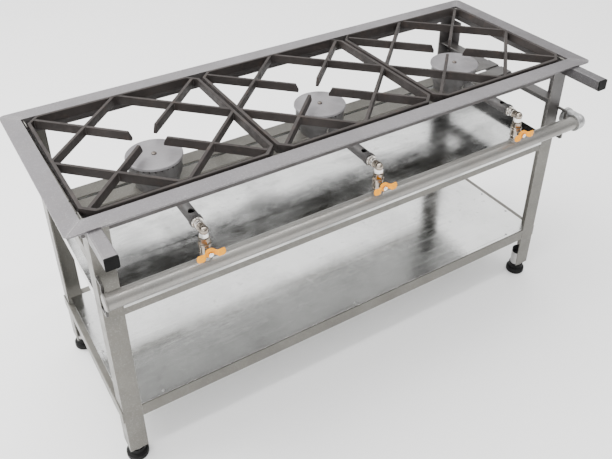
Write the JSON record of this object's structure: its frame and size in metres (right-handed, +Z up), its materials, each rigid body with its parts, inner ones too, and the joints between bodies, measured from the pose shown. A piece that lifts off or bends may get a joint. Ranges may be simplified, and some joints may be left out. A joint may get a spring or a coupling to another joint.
{
  "type": "propane burner stand",
  "caption": "Welded steel stand with round gas burners under lift-out grates, a front gas pipe with butterfly valves, a drip tray and a lower shelf.",
  "frame": {"origin": "middle of the overall box, on the floor", "axes": "+X along the stand to the right-hand end with the gas inlet, +Y to the back, +Z up; the valves and side arms are on the -Y side"},
  "size_m": [1.3, 0.568, 0.685],
  "materials": {
    "frame_paint": "satin grey hammered paint",
    "leg_paint": "satin grey-brown paint",
    "galvanised_sheet": "bright galvanised sheet with soft reflections",
    "rivet_aluminium": "plain",
    "sleeve_steel": "plain steel tube",
    "black_plastic": "matt black",
    "black_rubber": "matt black",
    "grate_iron": "dark brown heat-resistant coating",
    "burner_iron": "grey cast surface",
    "burner_cap_paint": "light grey cast surface",
    "bright_steel": "bright plated",
    "fitting_chrome": "nickel plated",
    "handle_orange": "orange powder coat",
    "pipe_paint": "satin silver-grey paint",
    "galvanised_fitting": "dull galvanised malleable iron"
  },
  "bodies": {
    "stand": {"arm_end_caps": "black_plastic", "burner_body_centre": "burner_iron", "burner_body_left": "burner_iron", "burner_body_right": "burner_iron", "burner_cap_centre": "burner_cap_paint", "burner_cap_left": "burner_cap_paint", "burner_cap_right": "burner_cap_paint", "burner_rail_front": "leg_paint", "burner_rail_rear": "leg_paint", "cap_screws": "bright_steel", "drip_tray": "galvanised_sheet", "foot_plugs": "black_plastic", "foot_sleeves": "sleeve_steel", "gas_manifold": "pipe_paint", "grate_ledges": "frame_paint", "injectors": "fitting_chrome", "inlet_elbow": "galvanised_fitting", "leg_front_left": "leg_paint", "leg_front_right": "leg_paint", "leg_rear_left": "leg_paint", "leg_rear_right": "leg_paint", "lower_rail_front": "leg_paint", "lower_rail_left": "leg_paint", "lower_rail_rear": "leg_paint", "lower_rail_right": "leg_paint", "lower_shelf": "galvanised_sheet", "manifold_cap": "pipe_paint", "mid_rail_front": "leg_paint", "mid_rail_rear": "leg_paint", "outlet_elbow_centre": "fitting_chrome", "outlet_elbow_left": "fitting_chrome", "outlet_elbow_right": "fitting_chrome", "pipe_brackets": "leg_paint", "rubber_feet": "black_rubber", "shelf_rivets": "rivet_aluminium", "side_arm_left": "frame_paint", "side_arm_right": "frame_paint", "top_frame_front": "frame_paint", "top_frame_left": "frame_paint", "top_frame_rear": "frame_paint", "top_frame_right": "frame_paint", "upper_side_rail_left": "leg_paint", "upper_side_rail_right": "leg_paint", "valve_body_centre": "fitting_chrome", "valve_body_left": "fitting_chrome", "valve_body_right": "fitting_chrome", "valve_bosses": "pipe_paint"},
    "grate_left": {"grate_left": "grate_iron"},
    "valve_left": {"valve_plug_left": "bright_steel", "valve_handle_left": "handle_orange", "handle_nut_left": "bright_steel"},
    "grate_centre": {"grate_centre": "grate_iron"},
    "valve_centre": {"valve_plug_centre": "bright_steel", "valve_handle_centre": "handle_orange", "handle_nut_centre": "bright_steel"},
    "grate_right": {"grate_right": "grate_iron"},
    "valve_right": {"valve_plug_right": "bright_steel", "valve_handle_right": "handle_orange", "handle_nut_right": "bright_steel"}
  },
  "joints": [
    {"name": "grate_left_lift", "type": "slide", "parent": "stand", "child": "grate_left", "axis": [0, 0, 1], "range_m": [0, 0.15]},
    {"name": "grate_centre_lift", "type": "slide", "parent": "stand", "child": "grate_centre", "axis": [0, 0, 1], "range_m": [0, 0.15]},
    {"name": "grate_right_lift", "type": "slide", "parent": "stand", "child": "grate_right", "axis": [0, 0, 1], "range_m": [0, 0.15]},
    {"name": "valve_left_turn", "type": "hinge", "parent": "stand", "child": "valve_left", "pos_m": [-0.4055, -0.215, 0.567], "axis": [0, -1, 0], "range_deg": [0, 90]},
    {"name": "valve_centre_turn", "type": "hinge", "parent": "stand", "child": "valve_centre", "pos_m": [0, -0.215, 0.567], "axis": [0, -1, 0], "range_deg": [0, 90]},
    {"name": "valve_right_turn", "type": "hinge", "parent": "stand", "child": "valve_right", "pos_m": [0.4055, -0.215, 0.567], "axis": [0, -1, 0], "range_deg": [0, 90]}
  ]
}
